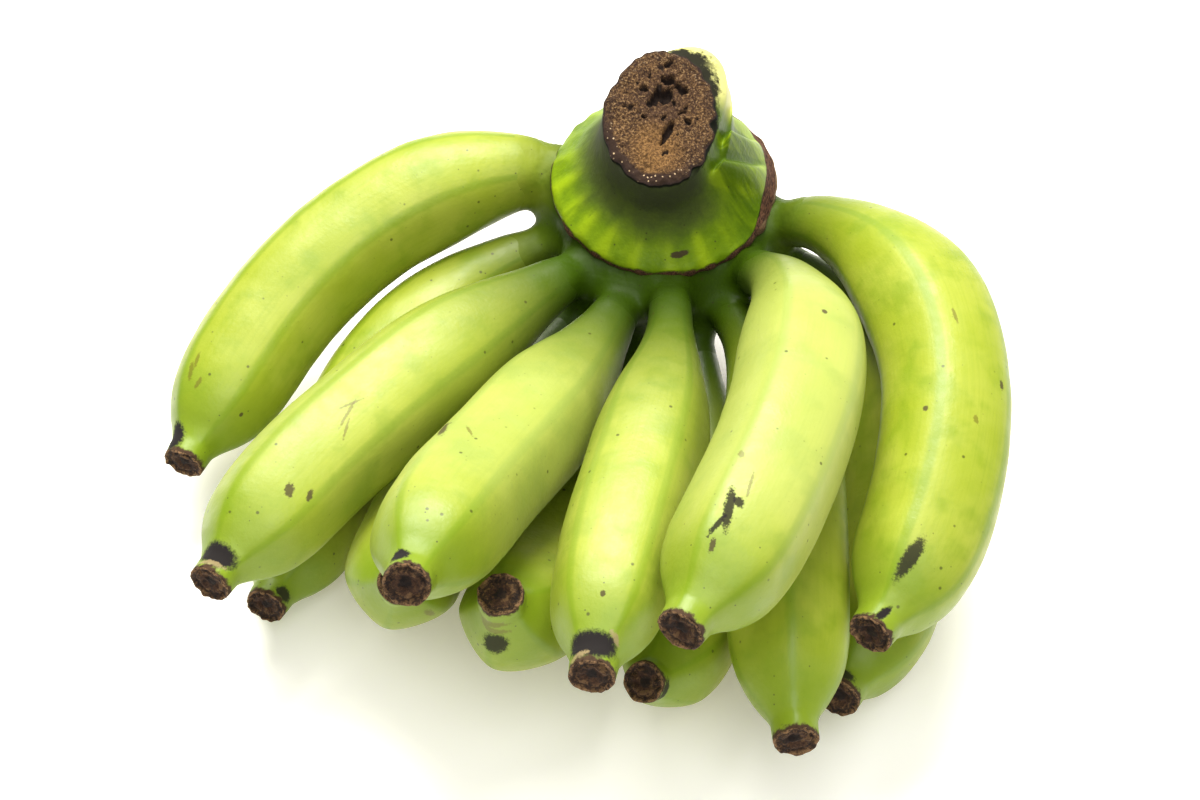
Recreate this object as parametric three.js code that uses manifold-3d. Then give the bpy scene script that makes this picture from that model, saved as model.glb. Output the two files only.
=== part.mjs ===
// A hand of green bananas lying on a table with its cut stem up.
// Twelve fingers in two rows round one crown. Millimetres, +Z up, front is -Y.
import * as THREE from 'three';
import { mergeVertices } from 'three/addons/utils/BufferGeometryUtils.js';
import Module from 'manifold-3d';

const wasm = await Module();
wasm.setup();

// ---------------------------------------------------------------- fingers
// Each finger leaves the crown at a place round its axis, then turns steadily.
//   round    degrees round the crown axis from the front, + to the right
//   drop     mm below the collar where the stalk leaves the crown
//   heading  compass direction at root, middle and tip, degrees from the front
//   pitch    slope above the level at root, middle and tip, degrees
//   length   mm from the crown's core to the blossom end
//   girth    mm across at the thickest
//   stalk    mm of slim stalk before the finger swells, below 0 if it swells inside the crown
//   roll     degrees the five ridges are turned about the finger
//   lift     degrees the blossom end turns up over its last stretch
const FINGERS = [
  { name: 'upper_banana_1', round: -115, drop: 12, heading: [-108, -50, -20],
    pitch: [6, -14, -14], length: 178, girth: 38, stalk: -4, roll: 20, lift: 10 },
  { name: 'upper_banana_2', round: -42, drop: 13, heading: [-46, -43, -25],
    pitch: [6, 0, -3], length: 178, girth: 38, stalk: 16, roll: 20, lift: 8 },
  { name: 'upper_banana_3', round: -18, drop: 13, heading: [-18, -26, -8],
    pitch: [-8, 17, 26], length: 180, girth: 38, stalk: 18, roll: 36, lift: 0 },
  { name: 'upper_banana_4', round: 0, drop: 13, heading: [8, -11, -7],
    pitch: [10, 8, -3], length: 177, girth: 36, stalk: 28, roll: 36, lift: 12 },
  { name: 'upper_banana_5', round: 46, drop: 12, heading: [45, -9, -29],
    pitch: [25, 11, -13], length: 195, girth: 39, stalk: 26, roll: 0, lift: 20 },
  { name: 'upper_banana_6', round: 70, drop: 12, heading: [84, 8, -33],
    pitch: [24, -4, -20], length: 199, girth: 39, stalk: 18, roll: 0, lift: 26 },
  { name: 'lower_banana_1', round: -77, drop: 22, heading: [-93, -31, -20],
    pitch: [-11, -14, 2], length: 175, girth: 37, stalk: 14, roll: 20, lift: 6 },
  { name: 'lower_banana_2', round: -35, drop: 25, heading: [-54, -24, 9],
    pitch: [-25, 2, 60], length: 174, girth: 37, stalk: 25, roll: 20, lift: 0 },
  { name: 'lower_banana_3', round: -10, drop: 27, heading: [-30, -13, -27],
    pitch: [-30, 4, 62], length: 171, girth: 38, stalk: 26, roll: 20, lift: 20 },
  { name: 'lower_banana_4', round: 17, drop: 27, heading: [13, -4, -30],
    pitch: [-19, -5, 45], length: 167, girth: 35, stalk: 25, roll: 20, lift: 0 },
  { name: 'lower_banana_5', round: 27, drop: 25, heading: [35, 3, 3],
    pitch: [13, -4, -10], length: 178, girth: 37, stalk: 27, roll: 0, lift: 12 },
  { name: 'lower_banana_6', round: 65, drop: 24, heading: [80, 4, -25],
    pitch: [6, -15, 10], length: 188, girth: 39, stalk: 24, roll: 20, lift: 5 },
];

const STALK_SHARE = 0.37;     // stalk thickness as a share of the girth
const SWELL_LENGTH = 66;      // over which the stalk widens to the full girth
const RIDGES = 5;             // a green banana is five-sided
const STALK_FLATNESS = 0.3;   // how far the sides are from round (0) to straight (1)
const BODY_FLATNESS = 0.62;
const LIFT_LENGTH = 40;       // the end stretch over which a finger turns up
const FINGER_SIDES = 20;
const PATH_STEPS = 40;

// Radius of the blossom end as a share of the full radius, by mm from the tip.
const BLOSSOM_END = [
  [0, 0.33], [2, 0.34], [5, 0.36], [9, 0.46], [14, 0.65], [20, 0.82], [28, 0.93],
  [40, 0.985], [58, 1],
];
const BLOSSOM_DIMPLE = 1.2;   // depth of the dried hollow in the blossom end

// ---------------------------------------------------------------- crown
const ROOT_CIRCLE = 20;       // radius of the circle the stalks grow from
const FUSED_LENGTH = 27;      // the stalks belong to the crown this far out
const JOINT_GAP = 0.3;
const CROWN_LEAN = 8;         // degrees the crown leans to the front
const CROWN_HEIGHT = 68;      // collar above the table
const STEM_TOP = 37;          // cut face above the collar
const STEM_DEPTH_RATIO = 1.28; // the stem is oval, deeper than it is wide
const STEM_SHIFT = [-2, -4];  // the stem bends a little left and to the front
const CUT_SLOPE = 0.2;        // the stem is cut obliquely, higher at the back
const COLLAR_DROOP = 0.03;    // the collar hangs a little lower at the front
const COLLAR_BACK = 0.92;     // and reaches less far at the back
const COLLAR_START = 22;      // distance from the axis at which the collar flares
const COLLAR_WIDTH = 10;
const CROWN_SIDES = 40;
const STALK_SIDES = 16;
const STALK_INSET = 9;        // how far each stalk reaches into the crown's core

// Outline of the crown from its lower cut face to the upper one: radius, height.
const CROWN_OUTLINE = [
  [0, -38], [13, -38], [16, -36.5], [22, -31], [27, -25], [31, -18], [32.5, -11],
  [32, -5.5], [33.6, -3.6], [34.6, -1.6], [34.4, 0.4], [31.4, 4.2], [27, 8.2], [22.6, 13.6],
  [19.5, 20], [18, 28], [17.5, 35.2], [16.6, STEM_TOP], [0, STEM_TOP - 0.6],
];

const GREEN = [0x9ebb38, 0x94b234, 0xa6c03f, 0x8fae30];
const CROWN_GREEN = 0x8c9a34;

const radians = THREE.MathUtils.degToRad;

// Value of a quantity given at the start, the middle and the end of a finger.
function between([start, middle, end], u) {
  return start * (1 - u) * (1 - 2 * u) + middle * 4 * u * (1 - u) + end * u * (2 * u - 1);
}

function directionAt(finger, u) {
  const fromTip = finger.length * (1 - u);
  const lift = finger.lift * smooth(1 - fromTip / LIFT_LENGTH);
  const heading = radians(between(finger.heading, u));
  const pitch = radians(between(finger.pitch, u) + lift);
  return new THREE.Vector3(
    Math.sin(heading) * Math.cos(pitch),
    -Math.cos(heading) * Math.cos(pitch),
    Math.sin(pitch),
  );
}

const crownCentre = new THREE.Vector3(0, 0, CROWN_HEIGHT);
const leanTurn = new THREE.Matrix4().makeRotationX(radians(CROWN_LEAN));

function onCrown(x, y, z) {
  return new THREE.Vector3(x, y, z).applyMatrix4(leanTurn).add(crownCentre);
}

// Points down the middle of a finger, starting inside the crown's core.
function fingerPath(finger) {
  const round = radians(finger.round);
  const root = onCrown(
    ROOT_CIRCLE * Math.sin(round), -ROOT_CIRCLE * Math.cos(round), -finger.drop,
  );
  const points = [root];
  const step = finger.length / PATH_STEPS;
  for (let i = 0; i < PATH_STEPS; i += 1) {
    const direction = directionAt(finger, (i + 0.5) / PATH_STEPS);
    points.push(points[i].clone().addScaledVector(direction, step));
  }
  return points;
}

// Place and frame at a distance along a finger, carried without twist from the root.
function fingerFrames(finger) {
  const points = fingerPath(finger);
  const step = finger.length / PATH_STEPS;
  let side = new THREE.Vector3();
  const frames = points.map((point, i) => {
    const forward = directionAt(finger, i / PATH_STEPS);
    if (i === 0) side.crossVectors(forward, new THREE.Vector3(0, 0, 1)).normalize();
    side = side.clone().addScaledVector(forward, -side.dot(forward)).normalize();
    return { point, forward, side };
  });
  return (distance) => {
    const place = THREE.MathUtils.clamp(distance / step, 0, PATH_STEPS);
    const i = Math.min(Math.floor(place), PATH_STEPS - 1);
    const t = place - i;
    const point = frames[i].point.clone().lerp(frames[i + 1].point, t);
    const forward = frames[i].forward.clone().lerp(frames[i + 1].forward, t).normalize();
    const side = frames[i].side.clone().lerp(frames[i + 1].side, t);
    side.addScaledVector(forward, -side.dot(forward)).normalize();
    const up = new THREE.Vector3().crossVectors(side, forward);
    if (distance < 0) point.addScaledVector(forward, distance);
    return { point, side, up };
  };
}

function smooth(t) {
  const s = THREE.MathUtils.clamp(t, 0, 1);
  return s * s * (3 - 2 * s);
}

// Share of the full radius left at a distance from the blossom end.
function blossomShare(fromTip) {
  for (let i = 1; i < BLOSSOM_END.length; i += 1) {
    const [near, low] = BLOSSOM_END[i - 1];
    const [far, high] = BLOSSOM_END[i];
    if (fromTip <= far) return low + (high - low) * (fromTip - near) / (far - near);
  }
  return 1;
}

function fingerRadius(finger, distance) {
  const swell = smooth((distance - finger.stalk) / SWELL_LENGTH);
  const neck = STALK_SHARE + (1 - STALK_SHARE) * swell;
  return finger.girth / 2 * neck * blossomShare(finger.length - distance);
}

// Radius at an angle round the finger as a share of its radius at a ridge.
function sideShare(angle, flatness) {
  const half = Math.PI / RIDGES;
  const fromFlat = THREE.MathUtils.euclideanModulo(angle, 2 * half) - half;
  return Math.cos(flatness * half) / Math.cos(flatness * fromFlat);
}

// A solid swept along a finger: a lathe of (radius, distance) bent onto its path.
function bentLathe(finger, outline, sides) {
  const points = outline.map(([radius, distance]) => new THREE.Vector2(radius, distance));
  const geometry = new THREE.LatheGeometry(points, sides);
  const frameAt = fingerFrames(finger);
  const position = geometry.attributes.position;
  for (let i = 0; i < position.count; i += 1) {
    const across = position.getX(i);
    const along = position.getY(i);
    const height = position.getZ(i);
    const angle = Math.atan2(across, height);
    const swell = smooth((along - finger.stalk) / SWELL_LENGTH);
    const flatness = STALK_FLATNESS + (BODY_FLATNESS - STALK_FLATNESS) * swell;
    const ridge = sideShare(angle - radians(finger.roll), flatness);
    const { point, side, up } = frameAt(along);
    point.addScaledVector(side, across * ridge).addScaledVector(up, height * ridge);
    position.setXYZ(i, point.x, point.y, point.z);
  }
  return geometry;
}

function solid(geometry) {
  geometry.deleteAttribute('normal');
  geometry.deleteAttribute('uv');
  const merged = mergeVertices(geometry, 1e-4);
  const body = new wasm.Manifold(new wasm.Mesh({
    numProp: 3,
    vertProperties: new Float32Array(merged.attributes.position.array),
    triVerts: new Uint32Array(merged.index.array),
  }));
  return body;
}

function toGeometry(body) {
  const mesh = body.getMesh();
  const geometry = new THREE.BufferGeometry();
  geometry.setAttribute('position', new THREE.BufferAttribute(mesh.vertProperties, 3));
  geometry.setIndex(new THREE.BufferAttribute(mesh.triVerts, 1));
  geometry.computeVertexNormals();
  return geometry;
}

function buildFinger(finger) {
  const start = FUSED_LENGTH + JOINT_GAP / 2;
  const stations = [start];
  const bodyEnd = finger.length - BLOSSOM_END.at(-1)[0];
  const bodySteps = 10;
  for (let i = 1; i < bodySteps; i += 1) {
    stations.push(start + (bodyEnd - start) * i / bodySteps);
  }
  for (const [fromTip] of [...BLOSSOM_END].reverse()) stations.push(finger.length - fromTip);
  const outline = stations.map((distance) => [fingerRadius(finger, distance), distance]);
  const dimple = [0, finger.length - BLOSSOM_DIMPLE];
  return solid(bentLathe(finger, [[0, start], ...outline, dimple], FINGER_SIDES));
}

function buildStalk(finger) {
  const end = FUSED_LENGTH - JOINT_GAP / 2;
  const stations = [-STALK_INSET, 0, end * 0.35, end * 0.7, end];
  const outline = stations.map((distance) => [fingerRadius(finger, distance), distance]);
  return solid(bentLathe(finger, [[0, -STALK_INSET], ...outline, [0, end]], STALK_SIDES));
}

function buildCrown() {
  const points = CROWN_OUTLINE.map(([radius, height]) => new THREE.Vector2(radius, height));
  const lathe = new THREE.LatheGeometry(points, CROWN_SIDES);
  lathe.rotateX(Math.PI / 2);
  const position = lathe.attributes.position;
  for (let i = 0; i < position.count; i += 1) {
    const across = position.getX(i);
    const back = position.getY(i);
    const height = position.getZ(i);
    const up = smooth(height / STEM_TOP);
    const flare = smooth((Math.hypot(across, back) - COLLAR_START) / COLLAR_WIDTH);
    const reach = back < 0 ? 1 : COLLAR_BACK;
    const depth = back * (1 + (STEM_DEPTH_RATIO - 1) * up + (reach - 1) * flare);
    const rise = (CUT_SLOPE * up + COLLAR_DROOP * flare) * depth;
    const placed = onCrown(across + STEM_SHIFT[0] * up, depth + STEM_SHIFT[1] * up, height + rise);
    position.setXYZ(i, placed.x, placed.y, placed.z);
  }
  return FINGERS.reduce((body, finger) => body.add(buildStalk(finger)), solid(lathe));
}

function named(name, body, colour) {
  const material = new THREE.MeshStandardMaterial({
    color: colour, roughness: 0.5, metalness: 0,
  });
  const mesh = new THREE.Mesh(toGeometry(body), material);
  mesh.name = name;
  return mesh;
}

const group = new THREE.Group();
group.name = 'banana_hand';
group.add(named('crown_stem', buildCrown(), CROWN_GREEN));
FINGERS.forEach((finger, i) => {
  group.add(named(finger.name, buildFinger(finger), GREEN[i % GREEN.length]));
});

// The origin is on the table under the middle of the hand.
const box = new THREE.Box3().setFromObject(group);
const middle = box.getCenter(new THREE.Vector3());
group.children.forEach((mesh) => mesh.geometry.translate(-middle.x, -middle.y, -box.min.z));

export default group;
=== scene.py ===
"""A hand of green bananas: the looks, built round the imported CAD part.

Every finger is rebuilt finely from the rings of its own CAD node. The crown is rebuilt
from two surfaces: a cap (stem, cut face and collar) and a base where the stalks fuse.
Lengths are millimetres in here and become metres when a mesh is made.
"""

import itertools
import math

import bpy
import numpy as np
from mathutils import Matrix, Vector


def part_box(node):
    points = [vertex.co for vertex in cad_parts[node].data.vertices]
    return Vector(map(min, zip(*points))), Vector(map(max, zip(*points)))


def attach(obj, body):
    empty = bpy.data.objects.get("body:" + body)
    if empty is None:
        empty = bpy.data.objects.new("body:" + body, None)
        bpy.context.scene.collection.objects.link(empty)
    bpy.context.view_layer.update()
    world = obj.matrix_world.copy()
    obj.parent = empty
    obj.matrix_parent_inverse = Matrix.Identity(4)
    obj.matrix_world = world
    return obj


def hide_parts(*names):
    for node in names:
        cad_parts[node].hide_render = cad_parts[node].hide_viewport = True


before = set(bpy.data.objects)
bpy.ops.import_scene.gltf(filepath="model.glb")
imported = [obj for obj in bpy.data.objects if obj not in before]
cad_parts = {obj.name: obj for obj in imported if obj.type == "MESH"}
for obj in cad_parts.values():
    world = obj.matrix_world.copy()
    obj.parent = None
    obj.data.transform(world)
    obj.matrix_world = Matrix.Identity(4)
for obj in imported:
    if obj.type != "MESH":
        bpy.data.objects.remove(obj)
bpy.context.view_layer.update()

MM = 0.001
RIDGES = 5
RING_SIDES = 20               # vertices round each ring of a CAD finger

# -------------------- small helpers


def smooth(t):
    t = np.clip(t, 0, 1)
    return t * t * (3 - 2 * t)


def unit(v):
    return v / np.linalg.norm(v, axis=-1, keepdims=True)


def across(v, axis):
    """The part of v at right angles to a unit axis, made unit length."""
    return unit(v - (v * axis).sum(-1, keepdims=True) * axis)


class Waves:
    """Smooth repeatable noise in space: a sum of plane waves near one wavelength."""

    def __init__(self, seed, wavelength, count=14):
        rng = np.random.default_rng(seed)
        direction = unit(rng.normal(size=(count, 3)))
        size = wavelength * rng.uniform(0.7, 1.5, count)
        self.k = direction * (2 * np.pi / size)[:, None]
        self.phase = rng.uniform(0, 2 * np.pi, count)
        self.scale = math.sqrt(2 / count)

    def __call__(self, points):
        return np.sin(points @ self.k.T + self.phase).sum(-1) * self.scale


def lookup(at, run, rows):
    """Rows of numbers at places along a run, filled in between the given ones."""
    return np.stack([np.interp(at, run, column) for column in rows.T], 1)


def hermite(t, gap, a, b, slope_a, slope_b):
    """A smooth curve from a to b across a gap, with the given slopes at its ends."""
    return ((1 + 2 * t) * (1 - t) ** 2 * a + t * (1 - t) ** 2 * gap * slope_a
            + t * t * (3 - 2 * t) * b + t * t * (t - 1) * gap * slope_b)


def catmull(points, count):
    """A smooth line of count points through the given ones, evenly spaced along it."""
    p = np.array(points, float)
    p = np.vstack([2 * p[0] - p[1], p, 2 * p[-1] - p[-2]])
    line = []
    for i in range(1, len(p) - 2):
        for t in np.linspace(0, 1, 24, endpoint=False):
            line.append(
                0.5 * (2 * p[i] + (p[i + 1] - p[i - 1]) * t
                       + (2 * p[i - 1] - 5 * p[i] + 4 * p[i + 1] - p[i + 2]) * t ** 2
                       + (3 * p[i] - p[i - 1] - 3 * p[i + 1] + p[i + 2]) * t ** 3))
    line.append(p[-2])
    line = np.array(line)
    run = np.concatenate([[0], np.cumsum(np.linalg.norm(np.diff(line, axis=0), axis=1))])
    return lookup(np.linspace(0, run[-1], count), run, line)


# -------------------- meshes

def make_piece(name, points, faces, materials, face_material=None, values=None):
    """A smooth-shaded mesh object from points in mm, with named vertex values."""
    mesh = bpy.data.meshes.new(name)
    mesh.from_pydata((points * MM).tolist(), [], [list(map(int, f)) for f in faces])
    for material in materials:
        mesh.materials.append(material)
    if face_material is not None:
        mesh.polygons.foreach_set("material_index", np.asarray(face_material, np.int32))
    mesh.polygons.foreach_set("use_smooth", np.ones(len(faces), bool))
    for key, value in (values or {}).items():
        value = np.asarray(value, np.float32)
        if value.ndim == 2:
            mesh.attributes.new(key, "FLOAT_VECTOR", "POINT").data.foreach_set("vector", value.ravel())
        else:
            mesh.attributes.new(key, "FLOAT", "POINT").data.foreach_set("value", value)
    mesh.update()
    piece = bpy.data.objects.new(name, mesh)
    bpy.context.scene.collection.objects.link(piece)
    return piece


def tube_faces(rings, sides):
    """Quads between rings of vertices laid out one ring after another."""
    faces = []
    for i in range(rings - 1):
        a, b = i * sides, (i + 1) * sides
        for j in range(sides):
            k = (j + 1) % sides
            faces.append((a + j, a + k, b + k, b + j))
    return faces


def fan(pole, ring, flip=False):
    """Triangles from a pole to a closed ring of vertices."""
    pairs = zip(ring, ring[1:] + ring[:1])
    return [(pole, b, a) if flip else (pole, a, b) for a, b in pairs]


# -------------------- reading the CAD

CROWN = "crown_stem"
CROWN_CENTRE_FROM_BOX = np.array([48.5, 45.5, 47.75])   # collar's middle from the box's low corner
CROWN_LEAN = math.radians(8)

crown_low = np.array(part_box(CROWN)[0]) / MM
CENTRE = crown_low + CROWN_CENTRE_FROM_BOX
LEAN = np.array([
    [1, 0, 0],
    [0, math.cos(CROWN_LEAN), -math.sin(CROWN_LEAN)],
    [0, math.sin(CROWN_LEAN), math.cos(CROWN_LEAN)],
])


def from_crown(p):
    """Crown coordinates (right, back, up from the collar's middle) to the frame, in mm."""
    return np.asarray(p) @ LEAN.T + CENTRE


def to_crown(p):
    return (np.asarray(p) - CENTRE) @ LEAN


def welded(node):
    """Points of a CAD node in mm with doubled corners joined, and its triangles."""
    mesh = node.data
    points = np.empty(len(mesh.vertices) * 3)
    mesh.vertices.foreach_get("co", points)
    points = points.reshape(-1, 3) / MM
    mesh.calc_loop_triangles()
    triangles = np.empty(len(mesh.loop_triangles) * 3, np.int32)
    mesh.loop_triangles.foreach_get("vertices", triangles)
    key = np.round(points * 1000).astype(np.int64)
    _, first, joined = np.unique(key, axis=0, return_index=True, return_inverse=True)
    return points[first], joined.reshape(-1)[triangles].reshape(-1, 3)


def read_rings(node):
    """The rings of a CAD finger from the crown to its tip, each RING_SIDES points."""
    points, triangles = welded(node)
    near = [set() for _ in points]
    for a, b, c in triangles:
        near[a] |= {b, c}
        near[b] |= {a, c}
        near[c] |= {a, b}
    poles = [i for i, n in enumerate(near) if len(n) == RING_SIDES]
    tip = max(poles, key=lambda i: np.linalg.norm(points[i] - CENTRE))
    layer, seen, rings = {tip}, {tip}, []
    while True:
        layer = {j for i in layer for j in near[i]} - seen
        if len(layer) != RING_SIDES:
            return rings[::-1]
        seen |= layer
        rings.append(points[sorted(layer)])


# The upper stalks dip to pass under the collar: mm down, and mm from the joint where it starts.
STALK_DIP = (6.0, 0.0)
STALK_DIPS = {"upper_banana_5": (10.0, 20.0), "upper_banana_6": (6.0, 8.0)}
STALK_DIP_INWARD = 20.0
SLIM_STALK = 7.0              # mm, least radius of a stalk inside the crown
TIP_BEND = 60                 # mm at the tip that don't steer the line inside the crown


class Finger:
    """The middle line, frame, radius and ridges of a CAD finger, by mm from its joint."""

    INSIDE = 40               # how far the line is carried on into the crown

    def __init__(self, name):
        rings = read_rings(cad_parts[name])
        self.name = name
        centre = np.array([r.mean(0) for r in rings])
        ahead = np.array([np.linalg.svd(r - r.mean(0))[2][2] for r in rings])
        step = np.gradient(centre, axis=0)
        ahead *= np.sign((ahead * step).sum(1))[:, None]
        chord = np.linalg.norm(np.diff(centre, axis=0), axis=1)
        self.run = np.concatenate([[0], np.cumsum(chord)])
        self.length = self.run[-1]
        self.centre, self.ahead = centre, ahead
        self.carry_back()
        up = [across(np.array([0, 0, 1.0]), ahead[0])]
        for direction in ahead[1:]:
            up.append(across(up[-1], direction))
        self.up = np.array(up)
        self.side = np.cross(ahead, self.up)
        self.radius = np.array([np.linalg.norm(r - r.mean(0), axis=1).mean() for r in rings])
        self.ridge = self.find_ridge(rings)

    def find_ridge(self, rings):
        """The angle of a ridge, from how the rings' radii vary five times round."""
        total = 0
        for i in range(4, len(rings) - 5):
            spoke = rings[i] - self.centre[i]
            angle = np.arctan2(spoke @ self.side[i], spoke @ self.up[i])
            total += (np.linalg.norm(spoke, axis=1) * np.exp(1j * RIDGES * angle)).sum()
        return np.angle(total) / RIDGES

    def carry_back(self):
        """The line inside the crown: its heading and pitch are carried on smoothly."""
        body = self.run < self.length - TIP_BEND
        heading = np.unwrap(np.arctan2(self.ahead[body, 0], -self.ahead[body, 1]))
        pitch = np.arcsin(self.ahead[body, 2])
        heading_fit = np.polyfit(self.run[body], heading, 2)
        pitch_fit = np.polyfit(self.run[body], pitch, 2)
        at = -np.arange(self.INSIDE + 1.0)
        h, p = np.polyval(heading_fit, at), np.polyval(pitch_fit, at)
        self.back_ahead = np.stack([np.sin(h) * np.cos(p), -np.cos(h) * np.cos(p), np.sin(p)], 1)
        middle = (self.back_ahead[1:] + self.back_ahead[:-1]) / 2
        self.back_centre = np.vstack([self.centre[:1], self.centre[0] - np.cumsum(middle, 0)])
        self.back_at = at

    def dip(self, s):
        """How far the stalk hangs below the CAD's middle line, to pass under the collar."""
        if not self.name.startswith("upper"):
            return 0 * s
        depth, start = STALK_DIPS.get(self.name, STALK_DIP)
        return depth * smooth((start - s) / (start + STALK_DIP_INWARD))

    def span(self, s):
        """The ring before each distance s, the gap to the next, and the share of it passed."""
        i = np.clip(np.searchsorted(self.run, s) - 1, 0, len(self.run) - 2)
        gap = self.run[i + 1] - self.run[i]
        return i, gap, (s - self.run[i]) / gap

    def radius_at(self, s):
        """A smooth radius through the CAD rings, easing to a slim stalk in the crown."""
        slope = np.gradient(self.radius, self.run)
        i, gap, t = self.span(s)
        t = np.clip(t, 0, 1)
        r = hermite(t, gap, self.radius[i], self.radius[i + 1], slope[i], slope[i + 1])
        back = np.maximum(self.radius[0] + slope[0] * s, min(SLIM_STALK, self.radius[0]))
        return np.where(s < 0, back, r)

    def at(self, s):
        """Centre, forward, up and side at distances s from the joint (below 0: inside)."""
        s = np.asarray(s, float)
        i, gap, t = self.span(s)
        t = np.clip(t[:, None], 0, None)
        da, db = self.ahead[i], self.ahead[i + 1]
        point = hermite(t, gap[:, None], self.centre[i], self.centre[i + 1], da, db)
        forward = unit(da + (db - da) * np.clip(t, 0, 1))
        beyond = (s > self.length)[:, None]
        point = np.where(beyond, self.centre[-1] + (s - self.length)[:, None] * self.ahead[-1], point)
        inside = (s < 0)[:, None]
        back = lookup(-s, -self.back_at, self.back_centre)
        turn = lookup(-s, -self.back_at, self.back_ahead)
        point = np.where(inside, back, point)
        point[:, 2] -= self.dip(s)
        forward = np.where(inside, unit(turn), forward)
        up = across(self.up[i] + (self.up[i + 1] - self.up[i]) * np.clip(t, 0, 1), forward)
        return point, forward, up, np.cross(forward, up)


FINGER_NAMES = sorted(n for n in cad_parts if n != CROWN)
fingers = {name: Finger(name) for name in FINGER_NAMES}

# Where the dark green of the neck, deepened by painted shade of the collar, begins to fade and where it
# ends, mm from the joint.
NECK_AND_SHADE_REACH = {
    "upper_banana_1": (-30, 16), "upper_banana_2": (-6, 62), "upper_banana_3": (-6, 76),
    "upper_banana_4": (-4, 92), "upper_banana_5": (-4, 60), "upper_banana_6": (-16, 40),
    "lower_banana_1": (-24, 40),
}
NECK_AND_SHADE_REACH_OF_OTHERS = (-6, 66)


def body_share(name, along):
    """0 where a finger has the dark green of its neck with the collar's painted shade, 1 where it has its
    body's colour.
    """
    start, end = NECK_AND_SHADE_REACH.get(name, NECK_AND_SHADE_REACH_OF_OTHERS)
    return smooth((along - start) / (end - start))


# -------------------- finger shape

SIDES = 120                   # fine vertices round a finger, a ridge every 24
JOINT_OVERLAP = 5             # mm that a finger's surface carries on into the crown
SINK = 0.25                   # mm that each surface dips below the other past the joint
GROUND = 0.02                 # mm above the ground, the lowest that skin goes
RING_STEP = 1.5               # mm between rings along a finger
TIP_ZONE = 16                 # mm at the tip with closer rings
TIP_RINGS = 24
NIB_LENGTH = 5.0              # dried end of a finger

# Blossom end face, from its rim inward: share of the radius, mm beyond the rim.
NIB_FACE = [
    (1.0, 0.15), (0.95, 0.3), (0.89, 0.25), (0.84, -0.05), (0.79, -0.4), (0.73, -0.55),
    (0.67, -0.45), (0.6, -0.3), (0.52, -0.35), (0.45, -0.6), (0.38, -0.95), (0.3, -1.1),
    (0.2, -0.9), (0.1, -0.8),
]


def section(flatness, softness):
    """Radius round a five-sided section as a share of its mean; one row per ring."""
    half = math.pi / RIDGES
    angle = np.arange(SIDES) * 2 * math.pi / SIDES
    from_flat = np.mod(angle, 2 * half) - half
    f = flatness[:, None]
    shape = np.cos(f * half) / np.cos(f * from_flat)
    wave = np.fft.rfft(shape, axis=1)
    order = np.arange(wave.shape[1])
    wave *= np.exp(-0.5 * (order * softness[:, None]) ** 2)
    shape = np.fft.irfft(wave, SIDES, axis=1)
    return shape / shape.mean(1, keepdims=True)


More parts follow.
